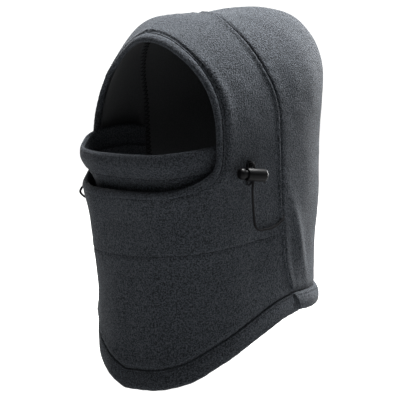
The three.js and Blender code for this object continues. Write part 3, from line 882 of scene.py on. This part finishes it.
# hems
hemShape = {
    "stitchShare": 0.14, "frontColumns": 380, "backColumns": 300, "frontSway": 1.0, "backSway": 2.0,
    # share of the hem's height from its top, and lift, all round the folded band
    "front": [(0.0, -0.0014), (0.03, 0.0004), (0.12, 0.0014), (0.22, 0.0010), (0.32, 0.0016), (0.5, 0.0021),
              (0.7, 0.0022), (0.86, 0.0018), (0.95, 0.0006), (0.99, -0.0012), (1.0, -0.0026), (0.97, -0.0042),
              (0.9, -0.0050), (0.6, -0.0051), (0.3, -0.0050), (0.1, -0.0049), (0.02, -0.0044), (0.0, -0.0030)],
    "back": [(0.0, -0.0010), (0.03, 0.0012), (0.12, 0.0030), (0.26, 0.0038), (0.45, 0.0044), (0.65, 0.0044),
             (0.82, 0.0036), (0.94, 0.0018), (0.99, -0.0006), (1.0, -0.0024), (0.97, -0.0040), (0.9, -0.0050),
             (0.6, -0.0051), (0.3, -0.0050), (0.1, -0.0048), (0.02, -0.0040), (0.0, -0.0028)],
}


def hemRing(name, side, placeAt):
    across, sway = np.linspace(-1, 1, hemShape[side + "Columns"]), hemShape[side + "Sway"]
    stitchShare = hemShape["stitchShare"]
    section = np.array(hemShape[side])
    closed = np.concatenate([section, section[:1]])
    steps = np.concatenate([[0], np.cumsum(np.linalg.norm(np.diff(closed * [0.019, 1], axis=0), axis=1))])
    even = np.linspace(0, steps[-1], 56, endpoint=False)
    share = np.interp(even, steps, closed[:, 0])
    lift = np.interp(even, steps, closed[:, 1])
    for _ in range(2):
        share = (np.roll(share, 1) + 2 * share + np.roll(share, -1)) / 4
        lift = (np.roll(lift, 1) + 2 * lift + np.roll(lift, -1)) / 4
    depth, turn = placeAt(across[:, None], share[None, :])
    base = skin(depth, turn)
    outward = (lift > -0.003).astype(float)[None, :]
    wobble = drape(base, depth, turn)
    along = np.concatenate([[0], np.cumsum(np.linalg.norm(np.diff(base[:, 0], axis=0), axis=1))])[:, None]
    pucker = np.sin(along * 2 * math.pi / 0.011 + 2 * np.sin(along * 31 + sway))
    pull = 0.00012 * pucker * bell(share - stitchShare, 0.25)[None, :] * outward
    groove = -0.0007 * bell((share - stitchShare) * 0.019, 0.0008)[None, :] * outward
    total = lift[None, :] + wobble + pull + groove
    points = skin(depth, turn, total)
    points[..., 2] += 0.00012 * pucker * bell(share - 1, 0.2)[None, :]
    obj = addObject(name, points.reshape(-1, 3), tubeFaces(*depth.shape), fleece)
    weldObject(obj)
    return obj


def frontHemPlace(across, share):
    level = hemLevel(across * 106)
    depth = level - (outlines["hem"] - 0.0001) * (1 - share)
    edge = seamTurn(outlines["corner"] + (outlines["bottom"] - outlines["corner"]) * share)
    return depth, across * (edge - 0.0003)


def backHemPlace(across, share):
    corner, height = outlines["corner"], outlines["bottom"] - outlines["corner"]
    depth = corner + 0.0002 + (height - 0.0002) * share - 0.0012 * bell(np.abs(across) - 1, 0.12) * share
    edge = seamTurn(corner + height * share) + 0.0003
    return depth * np.ones_like(across), math.pi + across * (math.pi - edge)


frontHem = hemRing("frontHem", "front", frontHemPlace)
backHem = hemRing("backHem", "back", backHemPlace)
for hem, node in ((frontHem, "front_hem"), (backHem, "back_hem")):
    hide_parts(node)
    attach(hem, "hood")
print("hems made")


# edge of the face opening
bindingShape = {"radius": 0.0026, "steps": 620, "sides": 20}


def evenAngles(count):
    angle = np.linspace(0, 2 * math.pi, 4001)
    points = skin(*openingAt(angle))
    steps = np.concatenate([[0], np.cumsum(np.linalg.norm(np.diff(points, axis=0), axis=1))])
    return np.interp(np.linspace(0, steps[-1], count, endpoint=False), steps, angle), steps[-1]


def makeBinding(shape):
    angle, total = evenAngles(shape["steps"])
    along = np.linspace(0, total, shape["steps"], endpoint=False)
    around = np.arange(shape["sides"]) / shape["sides"] * 2 * math.pi
    pucker = np.sin(along * 2 * math.pi / 0.0062 + 1.5 * np.sin(along * 47)) * (1 - lipShare(angle))
    uneven = 1 + 0.04 * np.sin(along * 23 + 1) + 0.03 * pucker
    lip = lipShare(angle)[:, None]
    radius = shape["radius"] * uneven[:, None] * (1 + 0.45 * lip) * np.ones_like(around)[None, :]
    outward = radius * np.cos(around)[None, :] * (1.05 + 0.2 * lip)
    lift = -0.0012 - 0.0010 * lip + radius * np.sin(around)[None, :]
    depth, turn = openingAt(np.broadcast_to(angle[:, None], outward.shape), outward)
    base = skin(depth, turn)
    lift = lift + drape(base, depth, turn)
    points = skin(depth, turn, lift)
    obj = addObject("openingBinding", points.reshape(-1, 3), gridFaces(*depth.shape, True, True), edgeFleece)
    weldObject(obj)
    return obj


binding = makeBinding(bindingShape)
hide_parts("face_opening_binding")
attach(binding, "hood")
print("opening edge made")


# face mask
maskShape = {
    "reach": 80, "thick": 0.0026, "rows": 110, "columns": 340,
    "top": [(-85, 0.112), (-60, 0.107), (-47, 0.1075), (-41, 0.111), (-35, 0.118), (-28, 0.1235), (-15, 0.126),
            (0, 0.1265), (18, 0.126), (29, 0.123), (38, 0.121), (45, 0.119), (62, 0.115), (85, 0.112)],
    "bottom": [(-90, 0.205), (-36, 0.214), (0, 0.218), (36, 0.214), (90, 0.205)],
    "topLift": [(-86, -0.008), (-62, -0.0094), (-50, -0.0092), (-45, -0.0074), (-41, -0.0040), (-37, -0.0002),
                (-30, 0.0012), (-15, 0.0012), (0, 0.001), (28, 0.0005), (38, -0.004), (45, -0.0075),
                (62, -0.0094), (86, -0.008)],
    "lipLift": [(-86, -0.008), (-62, -0.0104), (-45, -0.0115), (0, -0.0115), (45, -0.0115), (62, -0.0104),
                (86, -0.008)],
    "foot": -0.006, "sewn": 0.024, "roll": 0.0032,
    "edgePuff": (0.0008, 0.004, 0.0045), "bandPuff": (0.0010, 0.013, 0.007),
    "innerPuff": (0.0006, 0.003, 0.004),
    "sewnLine": (-0.0008, 0, 0.0009), "besideSewn": (0.0004, -0.0035, 0.0025), "tucks": (0.0002, 0, 0.007),
    "dimple": (-0.0022, 14, 13), "dimpleBelow": (1, 0.031, 0.005),
    "small": (0.0004, 0.03, 31), "broad": (0.0006, 0.06, 33),
}


def makeMask(shape):
    across = np.linspace(-shape["reach"], shape["reach"], shape["columns"])[None, :]
    reach = np.abs(across)
    row = np.linspace(0, 1, shape["rows"])[:, None] ** 1.6
    top, bottom = smoothTable(shape["top"], across), smoothTable(shape["bottom"], across)
    depth = top * (1 - row) + bottom * row
    below = depth - top
    topLift, lipLift = smoothTable(shape["topLift"], across), smoothTable(shape["lipLift"], across)
    share = below / (bottom - top)
    first = topLift + (lipLift - topLift) * smoothStep(share, 0.08, 0.42)
    second = lipLift + (shape["foot"] - lipLift) * smoothStep(share, 0.45, 1.0)
    lift = np.where(share < 0.43, first, second)
    turn = across * degree * np.ones_like(row)
    base = skin(depth, turn)
    # puffed band above the sewn line, and soft dimples below it
    gap = below - shape["sewn"] - 0.002 * np.sin(across * degree)
    roll = fold(below, shape["edgePuff"]) + fold(below, shape["bandPuff"])
    sewn = fold(gap, shape["sewnLine"]) + fold(gap, shape["besideSewn"])
    tucks = np.sin(across * 1.35 + 2 * np.sin(across * 0.21)) * fold(gap, shape["tucks"])
    dimple = fold(across, shape["dimple"]) * fold(below, shape["dimpleBelow"])
    loose = unevenness(base, shape["small"]) + unevenness(base, shape["broad"])
    loose = loose * smoothStep(reach, 66, 40) * smoothStep(share, 1.0, 0.85)
    middle = lift + sewn + tucks + dimple + loose - shape["thick"] / 2
    rounded = np.sqrt(np.clip(1 - np.clip(1 - below / shape["roll"], 0, 1) ** 2, 0.0004, 1))
    half = shape["thick"] / 2
    outer = skin(depth, turn, middle + (half + roll) * rounded)
    inner = skin(depth, turn, middle - (half + fold(below, shape["innerPuff"])) * rounded)
    return clothShell("faceMask", outer, inner, maskFleece)


faceMask = makeMask(maskShape)
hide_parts("face_mask")
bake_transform(faceMask)
print("mask made")


# stitching
stitching = {"length": 0.0024, "gap": 0.0007, "radius": 0.00026, "sink": -0.0001, "cuts": 6, "sides": 6,
             "above": 0.02}


def stitchRow(name, points, normals, shape):
    # separate stitches along a line of points: each is a short thread that dips at both ends
    points, normals = np.asarray(points), np.asarray(normals)
    steps = np.concatenate([[0], np.cumsum(np.linalg.norm(np.diff(points, axis=0), axis=1))])
    length, radius, sides, cuts = shape["length"], shape["radius"], shape["sides"], shape["cuts"]
    vertices, faces = [], []
    for start in np.arange(0, steps[-1] - length, length + shape["gap"]):
        share = np.linspace(0, 1, cuts)
        at = start + share * length
        middle = np.stack([np.interp(at, steps, points[:, k]) for k in range(3)], -1)
        up = np.stack([np.interp(at, steps, normals[:, k]) for k in range(3)], -1)
        up /= np.linalg.norm(up, axis=1, keepdims=True)
        forward = np.gradient(middle, axis=0)
        forward /= np.linalg.norm(forward, axis=1, keepdims=True)
        side = np.cross(forward, up)
        hump = radius * (1.1 - 5.2 * (share - 0.5) ** 2)
        size = radius * np.sqrt(np.clip(1 - (2 * share - 1) ** 4, 0.12, 1))
        middle = middle + up * hump[:, None]
        first = len(vertices)
        for k in range(cuts):
            for s in range(sides):
                angle = s / sides * 2 * math.pi
                vertices.append(middle[k] + (side[k] * math.cos(angle) + up[k] * math.sin(angle)) * size[k])
        faces.extend([first + corner for corner in face] for face in tubeFaces(cuts, sides))
    return addObject(name, vertices, faces, seamThread)


def surfaceRow(obj, depth, turn, shape):
    # a line laid on a finished piece of cloth, straight out from the smooth shape
    tree = obj.evaluated_get(bpy.context.evaluated_depsgraph_get())
    normals = surfaceNormal(depth, turn)
    starts = skin(depth, turn, shape["above"])
    points = []
    for start, normal in zip(starts, normals):
        hit, place, _, _ = tree.ray_cast(Vector(start), -Vector(normal))
        points.append(np.array(place) + normal * shape["sink"] if hit else start - normal * shape["above"])
    return np.array(points), normals


def addStitching(name, obj, depth, turn):
    row = stitchRow(name, *surfaceRow(obj, depth, turn, stitching), stitching)
    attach(row, "hood")


bpy.context.view_layer.update()
neckTurns = np.linspace(-82, 82, 500) * degree
addStitching("neckStitching", frontPanel, neckLine(neckTurns), neckTurns)
hemAcross, hemShare = np.linspace(-0.98, 0.98, 600), np.float64(hemShape["stitchShare"])
addStitching("frontHemStitching", frontHem, *frontHemPlace(hemAcross, hemShare))
addStitching("backHemStitching", backHem, *backHemPlace(hemAcross, hemShare))
maskTurns = np.linspace(-60, 60, 400)
maskDepth = smoothTable(maskShape["top"], maskTurns) + maskShape["sewn"] + 0.002 * np.sin(maskTurns * degree)
edgeAngles = np.linspace(-112, 112, 700) * degree
edgeDepth, edgeTurn = openingAt(edgeAngles, 0.0052)
addStitching("openingStitching", frontPanel, edgeDepth, edgeTurn)
maskRow = surfaceRow(faceMask, maskDepth, maskTurns * degree, stitching)
maskStitching = stitchRow("maskStitching", *maskRow, stitching)
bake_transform(maskStitching)
print("stitching sewn")


# overlocked seams inside
overlockShape = {
    "from": 0.03, "to": 0.985, "rows": 420, "half": 0.0034, "base": -0.0053, "top": -0.0054, "rise": 0.0013,
    "threadHalf": 0.0031, "threadLift": -0.0068, "threadRadius": 0.00045, "threadBow": 0.0007, "step": 0.0006,
    "pitch": 0.0042,
}


def makeOverlock(label, sign, shape):
    station = np.linspace(shape["from"], shape["to"], shape["rows"])
    share = np.linspace(-1, 1, 9)
    outer, inner = [], []
    for s in share:
        d, t = seamPoint(station, shape["half"] * s)
        outer.append(skin(d, t, shape["base"]))
        inner.append(skin(d, t, shape["top"] - shape["rise"] * math.sqrt(max(1 - s * s, 0))))
    mirror = np.array([sign, 1, 1])
    outer, inner = np.stack(outer, 1) * mirror, np.stack(inner, 1) * mirror
    ridge = clothShell(label + "SeamAllowance", outer, inner, jersey)
    centre = skin(*seamPoint(station, 0), -0.0055)
    arc = np.concatenate([[0], np.cumsum(np.linalg.norm(np.diff(centre, axis=0), axis=1))])
    even = np.arange(0, arc[-1], shape["step"])
    at = np.interp(even, arc, station)
    zigzag = np.abs(((even / shape["pitch"]) % 1) * 2 - 1) * 2 - 1
    d, t = seamPoint(at, 0)
    half = shape["threadHalf"]
    side = (skin(*seamPoint(at, half)) - skin(*seamPoint(at, -half))) / 2
    bow = surfaceNormal(d, t) * (shape["threadBow"] * np.abs(zigzag[:, None]) ** 2)
    path = skin(d, t, shape["threadLift"]) + side * zigzag[:, None] + bow
    thread = sweep(label + "OverlockThread", path * mirror, shape["threadRadius"], 6, seamThread)
    return ridge, thread


for label, sign in (("left", 1), ("right", -1)):
    ridge, thread = makeOverlock(label, sign, overlockShape)
    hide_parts(label + "_seam_overlock")
    for piece in (ridge, thread):
        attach(piece, "hood")
print("seam allowances made")


# cord locks
lockShape = {
    "origin": 0.0072,
    "centre": (0.09563, -0.05309, -0.14387),
    "axis": (0.31296, 0.94500, -0.09502),
    "strand": (0.02987, 0.09020, 0.99548),
    "barrel": [(0.0041, 0.0182), (0.0041, 0.0007), (0.0043, 0.0002), (0.0047, 0.0), (0.0052, 0.0),
               (0.0056, 0.0003), (0.00575, 0.0009), (0.00575, 0.0172), (0.0056, 0.0180), (0.0052, 0.0188),
               (0.0046, 0.0194), (0.0037, 0.0197), (0.0020, 0.0198), (0.0, 0.0198)],
    "button": [(0.0, -0.0082), (0.0022, -0.0081), (0.0034, -0.0079), (0.0042, -0.0074), (0.0047, -0.0068),
               (0.0050, -0.0060), (0.0050, -0.0034), (0.0048, -0.0029), (0.0044, -0.0027), (0.0038, -0.0027),
               (0.0038, 0.0112), (0.0036, 0.0114), (0.0, 0.0114)],
    "hole": 0.0017, "travel": 0.0025,
    "spring": {"radius": 0.0028, "wire": 0.00028, "turns": 4, "start": 0.0118, "end": 0.0178},
}


def lockMatrix(sign):
    axis = Vector(lockShape["axis"]).normalized()
    strand = Vector(lockShape["strand"]).normalized()
    across = strand.cross(axis)
    centre = Vector(lockShape["centre"])
    if sign < 0:
        flip = Matrix.Diagonal((-1, 1, 1))
        axis, strand, centre = flip @ axis, flip @ strand, flip @ centre
        across = strand.cross(axis)
    origin = centre - axis * lockShape["origin"]
    return Matrix(((axis.x, across.x, strand.x, origin.x), (axis.y, across.y, strand.y, origin.y),
                   (axis.z, across.z, strand.z, origin.z), (0, 0, 0, 1)))


def turnedPiece(name, profile, matrix, material, sides=64):
    # turned about its own X axis from (radius, distance) points, with closed ends
    vertices, faces, rings = [], [], []
    for radius, place in profile:
        if radius == 0:
            rings.append([len(vertices)])
            vertices.append((place, 0, 0))
        else:
            rings.append(list(range(len(vertices), len(vertices) + sides)))
            for k in range(sides):
                angle = k / sides * 2 * math.pi
                vertices.append((place, radius * math.cos(angle), radius * math.sin(angle)))
    for a, b in zip(rings[:-1], rings[1:]):
        for k in range(sides):
            n = (k + 1) % sides
            if len(a) == 1:
                faces.append((a[0], b[n], b[k]))
            elif len(b) == 1:
                faces.append((a[k], a[n], b[0]))
            else:
                faces.append((a[k], a[n], b[n], b[k]))
    if len(rings[0]) > 1:
        faces.append(rings[0])
    if len(rings[-1]) > 1:
        faces.append(rings[-1])
    obj = addObject(name, [matrix @ Vector(v) for v in vertices], faces, material)
    weldObject(obj)
    return obj


def cutBy(obj, cutter):
    modifier = obj.modifiers.new("cut", "BOOLEAN")
    modifier.operation = "DIFFERENCE"
    modifier.solver = "EXACT"
    modifier.object = cutter
    view = bpy.context.evaluated_depsgraph_get()
    mesh = bpy.data.meshes.new_from_object(obj.evaluated_get(view))
    obj.modifiers.clear()
    obj.data = mesh
    bpy.data.objects.remove(cutter)


def smoothByAngle(obj, limit=38):
    mesh = obj.data
    mesh.polygons.foreach_set("use_smooth", np.ones(len(mesh.polygons), bool))
    mesh.set_sharp_from_angle(angle=limit * degree)


for label, sign in (("left", 1), ("right", -1)):
    place = lockMatrix(sign)
    barrel = turnedPiece(label + "LockBarrel", lockShape["barrel"], place, plastic)
    across = place @ Matrix.Translation((lockShape["origin"], 0, 0)) @ Matrix.Rotation(-math.pi / 2, 4, "Y")
    hole = lockShape["hole"]
    profile = [(0, -0.009), (hole, -0.009), (hole, 0.009), (0, 0.009)]
    cutter = turnedPiece("cutter", profile, across, plastic, 32)
    cutBy(barrel, cutter)
    button = turnedPiece(label + "LockButton", lockShape["button"], place, plastic)
    slotHalf = hole + lockShape["travel"] / 2
    middle = lockShape["origin"] - lockShape["travel"] / 2
    signs = [(a, b, c) for a in (-1, 1) for b in (-1, 1) for c in (-1, 1)]
    corners = [(middle + a * slotHalf, b * hole, c * 0.008) for a, b, c in signs]
    boxFaces = [(0, 1, 3, 2), (4, 6, 7, 5), (0, 4, 5, 1), (2, 3, 7, 6), (0, 2, 6, 4), (1, 5, 7, 3)]
    cutter = addObject("cutter", [place @ Vector(c) for c in corners], boxFaces, plastic, False)
    cutBy(button, cutter)
    wire = lockShape["spring"]
    share = np.linspace(0, 1, wire["turns"] * 40)
    swing = share * wire["turns"] * 2 * math.pi
    helix = np.stack([wire["start"] + (wire["end"] - wire["start"]) * share, wire["radius"] * np.cos(swing),
                      wire["radius"] * np.sin(swing)], -1)
    helix = np.array([place @ Vector(p) for p in helix])
    coil = sweep(label + "LockSpring", helix, wire["wire"], 8, steel)
    for piece, node, slotName, body in ((barrel, "_lock_barrel", "lock_plastic", label + "_lock"),
                                        (button, "_lock_plunger", "lock_plastic", label + "_button"),
                                        (coil, "_lock_spring", "spring_steel", label + "_lock")):
        if slotName == "lock_plastic":
            smoothByAngle(piece)
        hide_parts(label + node)
        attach(piece, body)
    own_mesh(coil)
    loopCord, path = cordPaths[label]
print("cord locks made")


# buttonholes and the cord channel
buttonholeShape = {"depth": 0.1466, "turn": 60.3 * degree, "lift": 0.0008, "half": 0.00285,
                   "straight": 0.0077, "thread": 0.00075, "pitch": 0.0006, "steps": 420}


def makeButtonhole(label, sign, shape):
    depth, turn = shape["depth"], shape["turn"] * sign
    outward = surfaceNormal(np.array(depth), np.array(turn))
    side = np.array([-outward[1], outward[0], 0])
    side /= np.linalg.norm(side)
    up = np.cross(outward, side)
    centre = skin(depth, turn, shape["lift"])
    half, straight = shape["half"], shape["straight"]
    path = []
    for k in range(180):
        angle = k / 180 * 2 * math.pi
        shift = straight if math.sin(angle) > 0 else -straight
        path.append((half * math.cos(angle), shift + half * math.sin(angle)))
    path.append(path[0])
    path = np.array(path)
    steps = np.concatenate([[0], np.cumsum(np.linalg.norm(np.diff(path, axis=0), axis=1))])
    even = np.linspace(0, steps[-1], shape["steps"], endpoint=False)
    a, b = np.interp(even, steps, path[:, 0]), np.interp(even, steps, path[:, 1])
    line = centre + a[:, None] * side + b[:, None] * up
    radius = shape["thread"] * (1 + 0.22 * np.sin(even * 2 * math.pi / shape["pitch"]))
    piece = sweep(label + "Buttonhole", line, radius, 10, seamThread, True)
    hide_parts(label + "_buttonhole")
    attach(piece, "hood")


for label, sign in (("left", 1), ("right", -1)):
    makeButtonhole(label, sign, buttonholeShape)

channelShape = {"reach": 65, "upper": 0.004, "lower": 0.016, "lift": -0.0084, "thick": 0.0011}


def makeChannel(shape):
    # strip sewn inside the lip along both long edges, swelling over its cord
    angle = math.pi + np.linspace(-1, 1, 160)[None, :] * shape["reach"] * degree
    row = np.linspace(0, 1, 24)[:, None]
    depth, turn = openingAt(angle, shape["upper"] + (shape["lower"] - shape["upper"]) * row)
    swell = 0.0009 * bell(row - 0.45, 0.25) + 0.0001 * np.sin(angle * 140) * bell(row - 0.45, 0.4)
    lift = shape["lift"] + clothPull(depth, turn)
    outer = skin(depth, turn, lift)
    inner = skin(depth, turn, lift - shape["thick"] - swell)
    return clothShell("drawcordChannel", outer, inner, jersey)


channel = makeChannel(channelShape)
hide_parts("drawcord_channel")
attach(channel, "hood")
print("buttonholes made")


# stage
studio = {
    "floorLevel": -0.3425, "floorReach": 6, "aim": (0, 0, -0.16), "glow": 0.145, "backdrop": 1.2,
    # place, size and power of each light
    "lights": {"topLight": ((-0.02, 0.42, 1.27), (0.7, 0.7), 182),
               "backLight": ((-0.1, 1.5, 0.2), (0.5, 0.9), 55),
               "leftFill": ((-1.5, 0.35, 0.2), (0.8, 0.8), 22)},
}


def areaLight(name, place, size, power):
    data = bpy.data.lights.new(name, "AREA")
    data.shape = "RECTANGLE"
    data.size, data.size_y = size
    data.energy = power
    light = bpy.data.objects.new(name, data)
    light.location = place
    light.rotation_euler = (Vector(place) - Vector(studio["aim"])).to_track_quat("Z", "Y").to_euler()
    bpy.context.scene.collection.objects.link(light)


def makeStage():
    level, reach = studio["floorLevel"], studio["floorReach"]
    paper, shader = newMaterial("floorPaper")
    corners = [(x * reach, y * reach, level) for x, y in ((-1, -1), (1, -1), (1, 1), (-1, 1))]
    floor = addObject("floor", corners, [(0, 1, 2, 3)], paper)
    shader.inputs["Base Color"].default_value = (0.15, 0.15, 0.15, 1)
    shader.inputs["Roughness"].default_value = 0.9
    shader.inputs["Emission Color"].default_value = (1, 1, 1, 1)
    shader.inputs["Emission Strength"].default_value = 1.0
    for name, (place, size, power) in studio["lights"].items():
        areaLight(name, place, size, power)
    world = bpy.data.worlds.new("studio")
    world.use_nodes = True
    bpy.context.scene.world = world
    nodes, links = world.node_tree.nodes, world.node_tree.links
    nodes.clear()
    output = nodes.new("ShaderNodeOutputWorld")
    glow = nodes.new("ShaderNodeBackground")
    seen = nodes.new("ShaderNodeBackground")
    mix = nodes.new("ShaderNodeMixShader")
    path = nodes.new("ShaderNodeLightPath")
    glow.inputs["Color"].default_value = (1, 1, 1, 1)
    glow.inputs["Strength"].default_value = studio["glow"]
    seen.inputs["Color"].default_value = (1, 1, 1, 1)
    seen.inputs["Strength"].default_value = studio["backdrop"]
    links.new(path.outputs["Is Camera Ray"], mix.inputs[0])
    links.new(glow.outputs["Background"], mix.inputs[1])
    links.new(seen.outputs["Background"], mix.inputs[2])
    links.new(mix.outputs["Shader"], output.inputs["Surface"])
    bpy.context.scene.view_settings.view_transform = "Standard"


makeStage()
print("stage set")
